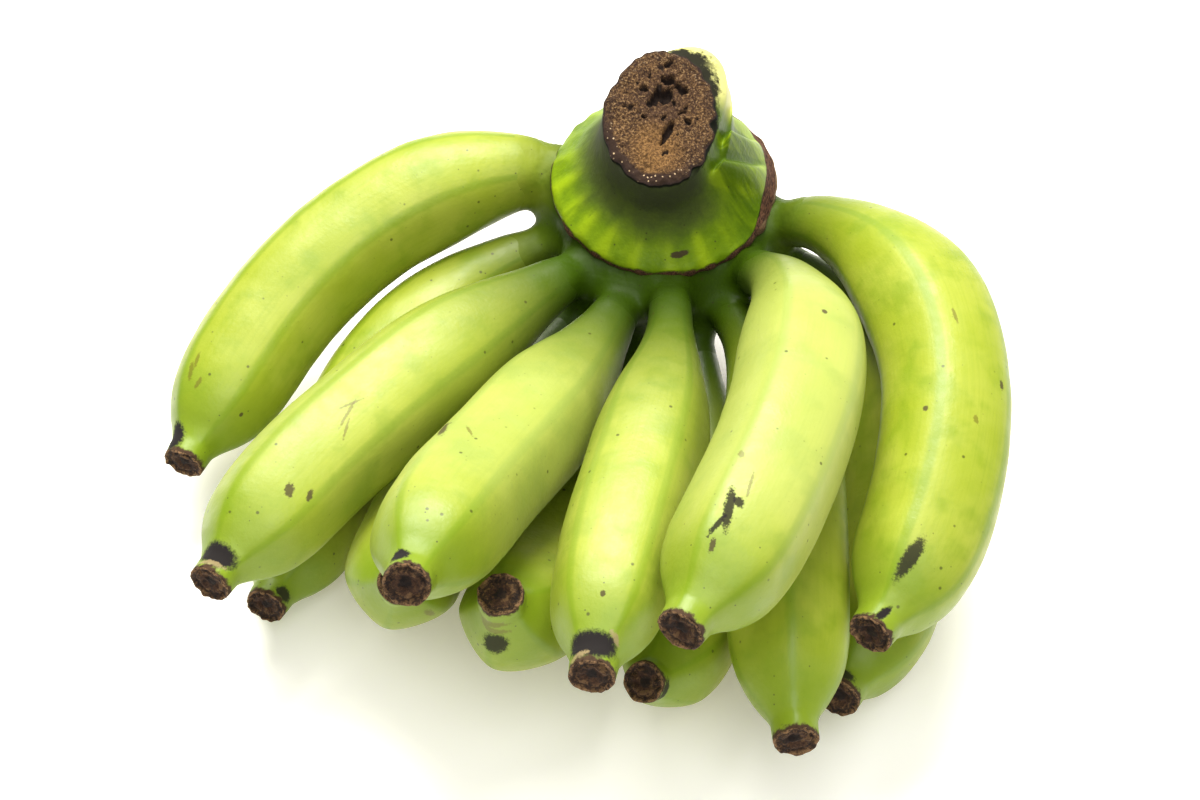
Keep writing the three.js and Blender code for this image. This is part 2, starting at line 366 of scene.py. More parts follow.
def build_finger(finger, seed, materials):
    rng = np.random.default_rng(seed)
    length = finger.length
    body = np.arange(-JOINT_OVERLAP, length - TIP_ZONE, RING_STEP)
    nib = np.linspace(length - TIP_ZONE, length, TIP_RINGS)
    s = np.concatenate([body, nib])
    rows = len(s)
    from_tip = length - s
    point, forward, up, side = finger.at(s)
    base = finger.radius_at(s)
    base = base - SINK * smooth((1 - s) / 4)
    nib_share = smooth((NIB_LENGTH + 1.5 - from_tip) / 3)
    base = base * (1 + 0.05 * nib_share)

    swell = smooth(s / 45)
    tip = smooth((46 - from_tip) / 34)
    flatness = 0.34 + 0.34 * swell + 0.04 * tip
    softness = np.radians(12.5 - 2.7 * swell - 1.4 * tip)
    shape = section(flatness, softness)
    blunt = smooth((from_tip - 2) / 7)[:, None]
    shape = 1 + (shape - 1) * (0.35 + 0.65 * blunt)

    # Each ridge has its own strength, and each facet its own slight hollow or swell.
    angle = np.arange(SIDES) * 2 * math.pi / SIDES
    for k in range(RIDGES):
        away = np.mod(angle - k * 2 * math.pi / RIDGES + math.pi, 2 * math.pi) - math.pi
        crest = np.exp(-(away / math.radians(7)) ** 2)
        flat = np.exp(-((np.abs(away) - math.pi / RIDGES) / math.radians(17)) ** 2)
        strength = rng.uniform(-0.003, 0.014)
        hollow = rng.uniform(-0.006, 0.009)
        grow = smooth((s - 12) / 40) * smooth((from_tip - 3) / 10)
        shape = shape + (grow * strength)[:, None] * crest - (grow * hollow)[:, None] * flat * 0.5

    turn = angle + finger.ridge
    cos, sin = np.cos(turn), np.sin(turn)
    lumps = Waves(seed + 50, 46)
    ripple = Waves(seed + 90, 15)
    straight = np.stack([
        base[:, None] * cos, base[:, None] * sin, np.broadcast_to(from_tip[:, None], (rows, SIDES)),
    ], -1)
    wobble = 0.16 * lumps(straight) * swell[:, None] + 0.045 * ripple(straight)
    torn = Waves(seed + 130, 3.2)(straight)
    wobble = wobble + 0.08 * torn * smooth((3.2 - from_tip) / 2.5)[:, None]
    radius = base[:, None] * shape + wobble
    spoke = up[:, None, :] * cos[:, None] + side[:, None, :] * sin[:, None]
    skin = point[:, None, :] + spoke * radius[..., None]
    crest = np.cos(RIDGES * angle)[None, :] * np.ones((rows, 1))

    # The dried face of the blossom end.
    rim = radius[-1]
    crumble = Waves(seed + 170, 2.4)
    face_points, face_straight = [], []
    for share, proud in NIB_FACE:
        ring = point[-1] + spoke[-1] * (rim * share)[:, None]
        flat = np.stack([rim * share * cos, rim * share * sin, np.full(SIDES, -proud)], 1)
        lift = proud + 0.22 * crumble(flat * [1, 1, 0])
        face_points.append(ring + forward[-1] * lift[:, None])
        face_straight.append(flat)
    points = np.vstack([skin.reshape(-1, 3), *face_points])
    straight = np.vstack([straight.reshape(-1, 3), *face_straight])
    inner_mark = np.concatenate([
        np.ones(rows * SIDES), np.repeat([share for share, _ in NIB_FACE], SIDES),
    ])
    crest = np.concatenate([crest.ravel(), np.zeros(len(NIB_FACE) * SIDES)])
    along = np.concatenate([np.repeat(s, SIDES), np.full(len(NIB_FACE) * SIDES, length)])

    total = rows + len(NIB_FACE)
    faces = tube_faces(total, SIDES)
    last = list(range((total - 1) * SIDES, total * SIDES))
    pole_tip = len(points)
    pole_root = pole_tip + 1
    points = np.vstack([points, point[-1] + forward[-1] * NIB_FACE[-1][1], point[0]])
    faces += fan(pole_tip, last)
    faces += fan(pole_root, list(range(SIDES)), flip=True)
    straight = np.vstack([straight, [[0, 0, 0.8]], [[0, 0, from_tip[0]]]])
    values = {
        "straight": straight,
        "ridge": np.append(crest, [0, 0]),
        "from_joint": np.append(along, [length, s[0]]),
        "body": body_share(finger.name, np.append(along, [length, s[0]])),
        "face": np.append(inner_mark, [0, 1]),
    }
    is_face = np.zeros(len(faces), int)
    first_face = (rows - 1) * SIDES
    is_face[first_face:total * SIDES - SIDES] = 1
    is_face[(total - 1) * SIDES:total * SIDES] = 1
    points[:, 2] = np.maximum(points[:, 2], GROUND)      # the lowest fingers rest on the ground
    piece = make_piece(f"{finger.name}_skin", points, faces, materials, is_face, values)
    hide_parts(finger.name)
    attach(piece, "root")
    return piece


# -------------------- crown base

GRID_STEP = 0.85
WEB = 13.0                    # mm over which two stalks melt into each other at the crown
WEB_REACH = 11.0              # mm past the joint that the webs between the fingers go on
FINE_WEB = 1.2                # mm of the same melting out at the fingers
WEB_THINNING = 0.9            # mm that the webs sink below the fingers' skin as they end
STALK_START = -34.0           # mm from the joint, inside the crown
STALK_RIDGE = 0.016           # share of its radius that a stalk's ridges stand out
NEAR_STALK = 26               # mm round a stalk that is worked out
GRID_MARGIN = 9               # mm past the sides of the CAD crown's box
GRID_BELOW = 3                # mm under that box
GRID_ABOVE = 8                # mm above the collar's middle
LOWER_CUT = -36.9             # mm from the collar's middle, where the lower cut face begins
# Away from the stalks the crown base takes the necks' dark green with its painted shade.
FAR_WEIGHT = 0.05             # keeps the crown dark green away from every stalk
CORE_OUTLINE = [
    (0, -38), (13, -38), (16, -36.5), (22, -31), (27, -25), (31, -18), (32.5, -11), (31.5, -5.5),
    (28, -2), (0, 0),
]


def melt(a, b, width):
    """The nearer of two distances, with a fillet of about that width where they meet."""
    h = np.clip(0.5 + 0.5 * (b - a) / width, 0, 1)
    return b + (a - b) * h - width * h * (1 - h)


def outline_distance(outline, r, h):
    """Signed distance from (r, h) to a closed outline that ends on the axis."""
    pts = np.array(outline, float)
    best = np.full(r.shape, 1e9)
    inside = np.zeros(r.shape, bool)
    for (r0, h0), (r1, h1) in zip(pts[:-1], pts[1:]):
        er, eh = r1 - r0, h1 - h0
        t = np.clip(((r - r0) * er + (h - h0) * eh) / (er * er + eh * eh), 0, 1)
        best = np.minimum(best, (r - r0 - t * er) ** 2 + (h - h0 - t * eh) ** 2)
        crosses = (h0 > h) != (h1 > h)
        with np.errstate(divide="ignore", invalid="ignore"):
            hit = r0 + (h - h0) * er / eh
        inside ^= crosses & (r < hit)
    return np.where(inside, -1, 1) * np.sqrt(best)


def stalk_distance(finger, points):
    """Signed distance to a finger's stalk, and the distance along it from the joint."""
    s = np.arange(STALK_START, WEB_REACH + 3, 1.0)
    centre, forward, up, side = finger.at(s)
    gap = ((points[:, None, :] - centre[None]) ** 2).sum(-1)
    i = gap.argmin(1)
    offset = points - centre[i]
    ahead = (offset * forward[i]).sum(1)
    along = s[i] + ahead
    across_part = offset - ahead[:, None] * forward[i]
    rho = np.linalg.norm(across_part, axis=1)
    radius = finger.radius_at(along) - SINK * smooth((along + 1) / 4)
    radius = radius - WEB_THINNING * smooth(along / WEB_REACH)
    angle = np.arctan2((across_part * side[i]).sum(1), (across_part * up[i]).sum(1)) - finger.ridge
    radius = radius * (1 + STALK_RIDGE * np.cos(RIDGES * angle) * smooth((along + 20) / 20))
    reach = np.maximum(along - WEB_REACH, STALK_START - along)
    return np.maximum(rho - radius, reach), along


def base_field(points):
    local = to_crown(points)
    field = outline_distance(CORE_OUTLINE, np.hypot(local[:, 0], local[:, 1]), local[:, 2])
    for name in FINGER_NAMES:
        finger = fingers[name]
        web_end = finger.at(np.array([WEB_REACH]))[0][0]
        low = np.minimum(finger.back_centre.min(0), web_end) - NEAR_STALK
        high = np.maximum(finger.back_centre.max(0), web_end) + NEAR_STALK
        close = ((points > low) & (points < high)).all(1)
        distance, along = stalk_distance(finger, points[close])
        width = FINE_WEB + (WEB - FINE_WEB) * (1 - smooth((along + 13) / 18))
        field[close] = melt(field[close], distance, width)
    return field


def surface_net(field, origin, step):
    """A quad mesh of the surface where a field on a grid is zero."""
    inside = field < 0
    shape = np.array(field.shape) - 1
    corner = list(itertools.product((0, 1), repeat=3))

    def shifted(grid, c):
        return grid[c[0]:c[0] + shape[0], c[1]:c[1] + shape[1], c[2]:c[2] + shape[2]]

    count = sum(shifted(inside, c).astype(np.int8) for c in corner)
    cells = np.argwhere((count > 0) & (count < 8))
    index = np.full(tuple(shape), -1, np.int64)
    index[tuple(cells.T)] = np.arange(len(cells))
    total = np.zeros((len(cells), 3))
    hits = np.zeros(len(cells))
    for a, b in itertools.combinations(corner, 2):
        if sum(x != y for x, y in zip(a, b)) != 1:
            continue
        fa = field[tuple((cells + a).T)]
        fb = field[tuple((cells + b).T)]
        crosses = (fa < 0) != (fb < 0)
        t = np.where(crosses, fa / np.where(crosses, fa - fb, 1), 0)
        total += np.where(crosses[:, None], np.array(a) + t[:, None] * (np.array(b) - a), 0)
        hits += crosses
    points = origin + (cells + total / hits[:, None]) * step
    quads = []
    for axis in range(3):
        u, v = (axis + 1) % 3, (axis + 2) % 3
        ahead = np.roll(inside, -1, axis)
        change = inside != ahead
        edges = np.argwhere(change)
        keep = (edges[:, axis] < shape[axis]) & (edges[:, u] > 0) & (edges[:, v] > 0)
        keep &= (edges[:, u] < shape[u]) & (edges[:, v] < shape[v])
        edges = edges[keep]
        out = inside[tuple(edges.T)]
        square = []
        for du, dv in ((1, 1), (0, 1), (0, 0), (1, 0)):
            cell = edges.copy()
            cell[:, u] -= du
            cell[:, v] -= dv
            square.append(index[tuple(cell.T)])
        square = np.stack(square, 1)
        square[~out] = square[~out][:, ::-1]
        quads.append(square)
    return points, np.vstack(quads)


def build_crown_base(materials):
    low = crown_low - (GRID_MARGIN, GRID_MARGIN, GRID_BELOW)
    high = np.array(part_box(CROWN)[1]) / MM + GRID_MARGIN
    high[2] = CENTRE[2] + GRID_ABOVE
    size = np.ceil((high - low) / GRID_STEP).astype(int) + 1
    axes = [low[k] + GRID_STEP * np.arange(size[k]) for k in range(3)]
    grid = np.stack(np.meshgrid(*axes, indexing="ij"), -1).reshape(-1, 3)
    field = np.concatenate([base_field(part) for part in np.array_split(grid, 8)])
    points, quads = surface_net(field.reshape(tuple(size)), low, GRID_STEP)
    for _ in range(2):        # settle the points onto the surface itself
        value = base_field(points)
        eps = 0.3
        slope = np.stack([base_field(points + eps * e) - value for e in np.eye(3)], 1) / eps
        norm = np.maximum((slope ** 2).sum(1, keepdims=True), 0.25)
        points = points - np.clip(value[:, None] * slope / norm, -0.6, 0.6)
    points = points + 0.05 * Waves(7, 9)(points)[:, None] * unit(slope)
    share = np.zeros(len(points))
    total = np.full(len(points), FAR_WEIGHT)
    for name in FINGER_NAMES:
        distance, along = stalk_distance(fingers[name], points)
        weight = np.exp(-np.maximum(distance, -1) / 2.0)
        share += weight * body_share(name, along)
        total += weight
    centre_height = to_crown(points)[quads].mean(1)[:, 2]
    is_cut = (centre_height < LOWER_CUT).astype(int)
    values = {"body": share / total}
    piece = make_piece("crown_base", points, quads, materials, is_cut, values)
    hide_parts(CROWN)
    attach(piece, "root")
    return piece


# -------------------- crown cap

CAP_SIDES = 288
STEM_TOP = 37.0
STEM_DEPTH_RATIO = 1.28
STEM_SHIFT = (-2.0, -4.0)
CUT_SLOPE = 0.2
COLLAR_DROOP = 0.03
COLLAR_BACK = 0.92
COLLAR_START = 22.0
COLLAR_WIDTH = 10.0
CAP_ROWS = 118                # rings from under the collar to the edge of the cut
FACE_ROWS = 52                # rings across the cut face
CUT_HALF = 17.0               # mm, about half the width of the cut face

# The cap's outline from under the collar, over the rim and up the stem.
CAP_OUTLINE = [
    (24, -9), (28, -6.5), (31, -4.8), (33.4, -3.6), (34.7, -2.3), (35.1, -1.0), (34.9, 0.5),
    (33.9, 2.0), (31.4, 4.4), (27.2, 8.2), (22.9, 13.4), (19.7, 20), (18.1, 28), (17.5, 34.2),
    (17.4, 36.4),
]

# Folds of the collar: degrees round the crown at the stem and at the rim, and mm of height.
FOLDS = [(54, 88, 3.8), (79, 108, 3.8), (106, 126, 4.0)]

# Pits in the cut face: right and back as shares of CUT_HALF, length, width (mm),
# turn (degrees from the right), depth (mm).
PITS = [
    (0.17, 0.55, 4.2, 3.0, 10, 3.2), (0.38, 0.43, 5.2, 2.4, -20, 3.0), (-0.03, 0.33, 4.4, 3.2, 30, 3.4),
    (0.14, 0.30, 4.6, 3.8, 60, 3.6), (-0.13, 0.21, 3.4, 2.0, -10, 2.4), (-0.27, 0.43, 3.2, 1.6, 0, 2.2),
    (0.17, 0.80, 3.2, 1.6, 5, 1.8), (0.04, 0.76, 1.3, 1.2, 0, 1.2), (-0.16, 0.64, 1.0, 1.6, 0, 1.3),
    (-0.60, 0.16, 1.4, 1.1, 0, 1.2), (-0.50, 0.16, 1.7, 1.1, 10, 1.3), (-0.26, 0.00, 1.7, 1.1, 10, 1.4),
    (0.09, -0.01, 1.8, 0.9, 45, 1.2), (0.48, 0.16, 1.8, 1.1, 35, 1.4), (0.40, 0.07, 2.6, 1.5, 20, 1.8),
    (0.50, -0.06, 2.7, 1.5, -40, 1.8), (0.15, -0.23, 6.6, 2.5, 55, 2.6), (0.09, -0.54, 2.8, 1.2, 40, 1.3),
    (0.32, -0.26, 0.9, 0.9, 0, 0.8), (0.69, -0.04, 0.9, 0.9, 0, 0.8), (-0.38, 0.52, 1.2, 0.9, 0, 0.9),
    (0.02, 0.45, 1.6, 1.0, 80, 1.2), (0.27, 0.20, 1.4, 1.2, 0, 1.4),
]


def cap_place(x, y, h, lift=0.0):
    """The CAD's oval, leaning stem and drooping collar, applied to a plain turned form."""
    up = smooth(h / STEM_TOP)
    flare = smooth((np.hypot(x, y) - COLLAR_START) / COLLAR_WIDTH)
    reach = np.where(y < 0, 1.0, COLLAR_BACK)
    depth = y * (1 + (STEM_DEPTH_RATIO - 1) * up + (reach - 1) * flare)
    rise = (CUT_SLOPE * up + COLLAR_DROOP * flare) * depth
    return np.stack([x + STEM_SHIFT[0] * up, depth + STEM_SHIFT[1] * up, h + rise + lift], -1)


def bump(angle, middle, width):
    """A smooth hump of 1 round the crown at an angle, both in degrees."""
    away = np.mod(angle - middle + 180, 360) - 180
    return np.exp(-(away / width) ** 2)


def build_crown_cap(materials):
    angle = np.arange(CAP_SIDES) * 2 * math.pi / CAP_SIDES
    degrees = np.degrees(angle)              # 0 at the front, + to the right
    degrees = np.mod(degrees + 180, 360) - 180
    line = catmull(CAP_OUTLINE, CAP_ROWS)
    r = line[:, :1]
    h = line[:, 1:]
    r = r * np.ones((1, CAP_SIDES))
    h = h * np.ones((1, CAP_SIDES))
    sin, cos = np.sin(angle)[None], -np.cos(angle)[None]

    collar = smooth((r - 22) / 7) * smooth((h + 5) / 4) * smooth((37.5 - r) / 3)
    rng = np.random.default_rng(3)
    swell = np.zeros(CAP_SIDES)
    at = -175.0
    while at < 175:
        swell += rng.uniform(0.45, 1.0) * bump(degrees, at, rng.uniform(4.5, 7.0))
        at += rng.uniform(14, 21)
    front = 1 - 0.7 * bump(degrees, 85, 32)
    lift = 0.6 * (swell * front)[None] * collar
    # Three soft folds run from the stem to the rim on the right, swept back as they go out,
    # over a shoulder that fills the angle between the stem and the collar.
    out = np.clip((r - 18) / 16, 0, 1)
    folds = 0
    for at_stem, at_rim, height in FOLDS:
        middle = at_stem + (at_rim - at_stem) * out
        folds = folds + height * bump(degrees[None], middle, 7.5 + 1.5 * out)
        folds = folds - 0.5 * height * bump(degrees[None], middle + 12, 5)
    slope = smooth((r - 17.8) / 3) * smooth((35 - r) / 7) * smooth((h - 1) / 3)
    fill = 8.5 * bump(degrees, 82, 36)[None] * smooth((r - 17.7) / 3) * smooth((36 - r) / 15)
    lift = lift + folds * slope
    hang = Waves(11, 30)(np.stack([r * sin, r * cos, h], -1)) * 0.35
    ragged = Waves(12, 5)(np.stack([r * sin, r * cos, h * 0], -1))
    rim = smooth((r - 33) / 2)
    r = r + rim * (0.22 * ragged + 0.5 * bump(degrees, 80, 40)[None])
    # The stem swells towards the back right, where its side shows past the cut.
    stem = smooth((h - 12) / 10)
    shoulder = bump(degrees, 138, 32)[None] * stem * (1 - smooth((h - 30.5) / 6))
    r = r + 8.5 * shoulder
    # Cut aslant, the stem is a little flat at the back left and the front right.
    cut_flat = 1.5 * bump(degrees, -132, 32) + 1.0 * bump(degrees, 62, 26)
    r = r - cut_flat[None] * smooth((h - 20) / 15)
    edge = smooth((h - 33.8) / 2.4)
    torn = Waves(13, 4)(np.stack([r * sin, r * cos, h * 0], -1))
    right_edge = bump(degrees, 95, 55)[None]
    r = r + edge * (0.22 + 0.5 * right_edge) * torn
    body = np.stack([r * sin, r * cos, h], -1)
    skin = cap_place(body[..., 0], body[..., 1], h, lift + hang * collar + fill)

    # The cut face: rings inward from the rim, with real pits and grain.
    rim_r = r[-1]
    shares = np.linspace(1, 0, FACE_ROWS)[:-1]
    shares = np.concatenate([[1.0, 1 - 0.012], shares[1:]])
    fx = (rim_r[None] * shares[:, None]) * sin
    fy = (rim_r[None] * shares[:, None]) * cos
    flat = np.stack([fx, fy, np.zeros_like(fx)], -1)
    grain = 0.13 * Waves(21, 1.6)(flat) + 0.08 * Waves(22, 0.9)(flat) + 0.25 * Waves(23, 7)(flat)
    jitter = 0.35 * Waves(24, 1.8)(flat)
    jitter_b = 0.35 * Waves(25, 1.8)(flat)
    pit = np.zeros_like(fx)
    sink = np.zeros_like(fx)
    for right, back, long, wide, turn, deep in PITS:
        dx = fx - right * CUT_HALF + jitter * 0.6
        dy = fy - back * CUT_HALF + jitter_b * 0.6
        c, sn = math.cos(math.radians(turn)), math.sin(math.radians(turn))
        u = (dx * c + dy * sn) / (long / 2)
        v = (-dx * sn + dy * c) / (wide / 2 / 1.1)
        inside = 1 - np.sqrt(u * u + v * v) + 0.18 * jitter
        mask = smooth(inside / 0.45 + 0.35)
        pit = np.maximum(pit, mask)
        sink = np.maximum(sink, deep * mask)
    rim_soft = smooth((1 - shares) / 0.06)[:, None]
    face_h = STEM_TOP - 0.5 + 0.5 * rim_soft + grain * rim_soft - sink
    face = cap_place(fx, fy, np.full_like(fx, STEM_TOP), face_h - STEM_TOP)

    rows = skin.shape[0] + face.shape[0]
    points = np.concatenate([skin, face]).reshape(-1, 3)
    pole = len(points)
    middle = cap_place(np.zeros(1), np.zeros(1), np.full(1, STEM_TOP))
    points = np.vstack([points, middle])
    faces = tube_faces(rows, CAP_SIDES)
    faces += fan(pole, list(range((rows - 1) * CAP_SIDES, rows * CAP_SIDES)))
    skin_rows = skin.shape[0]
    share_all = np.concatenate([np.ones(skin_rows), shares])
    turned = np.concatenate([body, np.stack([fx, fy, np.full_like(fx, STEM_TOP)], -1)])
    values = {
        "turned": np.vstack([turned.reshape(-1, 3), [[0, 0, STEM_TOP]]]),
        "around": np.append(np.tile(degrees, rows), 0),
        "share": np.append(np.repeat(share_all, CAP_SIDES), 0),
        "pit": np.append(np.concatenate([np.zeros(skin_rows * CAP_SIDES), pit.ravel()]), 0),
        "lift": np.append(np.concatenate([lift.ravel(), np.zeros(face.shape[0] * CAP_SIDES)]), 0),
    }
    is_face = np.zeros(len(faces), int)
    is_face[(skin_rows - 1) * CAP_SIDES:] = 1
    piece = make_piece("crown_cap", from_crown(points), faces, materials, is_face, values)
    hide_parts(CROWN)
    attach(piece, "root")
    return piece


# -------------------- shader helpers

def srgb(r, g, b):
    """An 8-bit display colour as linear RGBA."""
    def linear(c):
        c = c / 255
        return c / 12.92 if c <= 0.04045 else ((c + 0.055) / 1.055) ** 2.4
    return (linear(r), linear(g), linear(b), 1)


class Shader:
    """A node material with short calls for the nodes it is made of."""

    def __init__(self, name):
        self.material = bpy.data.materials.new(name)
        self.material.use_nodes = True
        self.tree = self.material.node_tree
        self.surface = self.tree.nodes["Principled BSDF"]
        self.place = self.node("ShaderNodeTexCoord").outputs["Object"]

    def node(self, kind, **settings):
        made = self.tree.nodes.new(kind)
        for key, value in settings.items():
            setattr(made, key, value)
        return made

    def set(self, socket, value):
        if isinstance(value, bpy.types.NodeSocket):
            self.tree.links.new(value, socket)
        else:
            socket.default_value = value

    def math(self, operation, a, b=0.0, clamp=False):
        made = self.node("ShaderNodeMath", operation=operation, use_clamp=clamp)
        self.set(made.inputs[0], a)
        self.set(made.inputs[1], b)
        return made.outputs[0]

    def times(self, a, b, clamp=False):
        return self.math("MULTIPLY", a, b, clamp)

    def plus(self, a, b):
        return self.math("ADD", a, b)

    def minus(self, a, b, clamp=False):
        return self.math("SUBTRACT", a, b, clamp)

    def most(self, a, b):
        return self.math("MAXIMUM", a, b)

    def vector(self, operation, a, b=(0, 0, 0)):
        made = self.node("ShaderNodeVectorMath", operation=operation)
        self.set(made.inputs[0], a)
        self.set(made.inputs[1], b)
        return made.outputs["Value" if operation in ("DOT_PRODUCT", "LENGTH", "DISTANCE") else 0]

    def third(self, vector):
        """The third part of a vector."""
        made = self.node("ShaderNodeSeparateXYZ")
        self.set(made.inputs[0], vector)
        return made.outputs[2]

    def value(self, name):
        return self.node("ShaderNodeAttribute", attribute_name=name).outputs["Fac"]

    def vector_value(self, name):
        return self.node("ShaderNodeAttribute", attribute_name=name).outputs["Vector"]

    def stretch(self, vector, scale):
        return self.vector("MULTIPLY", vector, scale)

    def noise(self, vector, scale, detail=2.0, rough=0.5):
        made = self.node("ShaderNodeTexNoise")
        self.set(made.inputs["Vector"], vector)
        for key, value in (("Scale", scale), ("Detail", detail), ("Roughness", rough)):
            made.inputs[key].default_value = value
        return made.outputs["Fac"]

    def wander(self, vector, scale, detail, rough, amount):
        """Noise that wanders to both sides of zero."""
        return self.times(self.minus(self.noise(vector, scale, detail, rough), 0.5), amount)

    def cells(self, vector, scale, output="Distance"):
        made = self.node("ShaderNodeTexVoronoi")
        self.set(made.inputs["Vector"], vector)
        made.inputs["Scale"].default_value = scale
        return made.outputs[output]

    def range(self, value, low, high, to_low=0.0, to_high=1.0):
        made = self.node("ShaderNodeMapRange", interpolation_type="SMOOTHSTEP")
        for key, v in (("Value", value), ("From Min", low), ("From Max", high),
                       ("To Min", to_low), ("To Max", to_high)):
            self.set(made.inputs[key], v)
        return made.outputs["Result"]

    def mix(self, factor, a, b):
        made = self.node("ShaderNodeMix", data_type="RGBA")
        for index, value in ((0, factor), (6, a), (7, b)):
            self.set(made.inputs[index], value)
        return made.outputs[2]

    def tint(self, colour, paint, mask, amount):
        """A colour with a share of another painted on where the mask is 1."""
        return self.mix(self.times(mask, amount), colour, paint)

    def bump(self, height, distance, strength):
        made = self.node("ShaderNodeBump")
        made.inputs["Strength"].default_value = strength
        made.inputs["Distance"].default_value = distance
        self.set(made.inputs["Height"], height)
        return made.outputs["Normal"]

    def finish(self, colour, roughness, normal, specular):
        self.set(self.surface.inputs["Base Color"], colour)
        self.set(self.surface.inputs["Roughness"], roughness)
        self.set(self.surface.inputs["Normal"], normal)
        self.surface.inputs["Specular IOR Level"].default_value = specular
        return self.material


# -------------------- peel

BODY_GREEN = srgb(146, 160, 40)
BODY_YELLOW = srgb(160, 170, 58)
FACET_GREEN = srgb(116, 142, 22)
# Neck green, made darker to paint in the collar's shade over the necks.
NECK_AND_SHADE_GREEN = srgb(52, 76, 3)
TIP_GREEN = srgb(112, 138, 20)
HIGHLIGHT_PALE_GREEN = srgb(188, 196, 118)
DRY_BROWN = srgb(60, 40, 24)
BRUISE = srgb(24, 15, 13)
PALE_NICK = srgb(150, 132, 92)
CHAR = srgb(26, 21, 20)
SCUFF = srgb(98, 84, 22)

PEEL_SPECULAR = 0.38


def peel_colour(sh, place, body, from_tip=None, ridge=None, straight=None):
    """The green skin: broad patches, facets and streaks."""
    patches = sh.noise(place, 34, 3, 0.55)
    colour = sh.mix(sh.range(patches, 0.36, 0.66), BODY_GREEN, BODY_YELLOW)
    bloom = sh.noise(place, 78, 3, 0.6)
    colour = sh.mix(sh.range(bloom, 0.46, 0.72, 0, 0.55), colour, FACET_GREEN)
    if straight is not None:
        streak = sh.noise(sh.stretch(straight, (1.1, 1.1, 0.045)), 1.0, 3, 0.6)
        colour = sh.mix(sh.range(streak, 0.42, 0.7, 0, 0.16), colour, FACET_GREEN)
    if ridge is not None:
        crest = sh.range(ridge, 0.84, 1.0, 0, 0.6)
        colour = sh.mix(crest, colour, FACET_GREEN)
    # The neck's dark green, which also carries the collar's painted shade.
    colour = sh.mix(sh.minus(1.0, body, clamp=True), colour, NECK_AND_SHADE_GREEN)
    if from_tip is not None:
        tipward = sh.range(from_tip, 34, 8)
        colour = sh.tint(colour, TIP_GREEN, tipward, 0.75)
    return colour


def skin_height(sh, grooves=None):
    """The fine and broad unevenness of green skin, with any grooves along it."""
    height = sh.times(sh.noise(sh.place, 900, 2, 0.5), 0.35)
    if grooves is not None:
        height = sh.plus(height, sh.times(grooves, 0.12))
    return sh.plus(height, sh.times(sh.noise(sh.place, 160, 2, 0.5), 0.9))


def specks(sh, place, scale, size, share):
    """A mask of small dots: the middles of some random cells."""
    distance = sh.cells(place, scale)
    chosen = sh.cells(place, scale, output="Color")
    pick = sh.vector("DOT_PRODUCT", chosen, (1, 0, 0))
    dot = sh.range(distance, size, size * 0.45)
    return sh.times(dot, sh.math("LESS_THAN", pick, share))


def blotch(sh, straight, from_tip, angle, radius, long, wide, turn=0.0, rough=0.35, seed=0.0, soft=0.25):
    """A mask for one mark, placed by mm from the tip and degrees round the finger."""
    a = math.radians(angle)
    out = (math.cos(a), math.sin(a), 0)
    round_ = (-math.sin(a), math.cos(a), 0)
    offset = sh.vector("SUBTRACT", straight, (radius * out[0], radius * out[1], from_tip))
    c, s = math.cos(math.radians(turn)), math.sin(math.radians(turn))
    lengthwise = (round_[0] * s, round_[1] * s, c)
    crosswise = (round_[0] * c, round_[1] * c, -s)
    u = sh.math("DIVIDE", sh.vector("DOT_PRODUCT", offset, lengthwise), long / 2)
    v = sh.math("DIVIDE", sh.vector("DOT_PRODUCT", offset, crosswise), wide / 2)
    w = sh.math("DIVIDE", sh.vector("DOT_PRODUCT", offset, out), radius * 0.8)
    square = sh.plus(sh.times(u, u), sh.times(v, v))
    square = sh.plus(square, sh.times(w, w))
    away = sh.math("SQRT", square)
    elsewhere = sh.vector("ADD", straight, (seed * 7.3, seed * 3.1, seed))
    edge = sh.plus(away, sh.wander(elsewhere, 1.1, 4, 0.7, 4 * rough))
    return sh.range(edge, 1.0 + soft, 1.0 - soft)


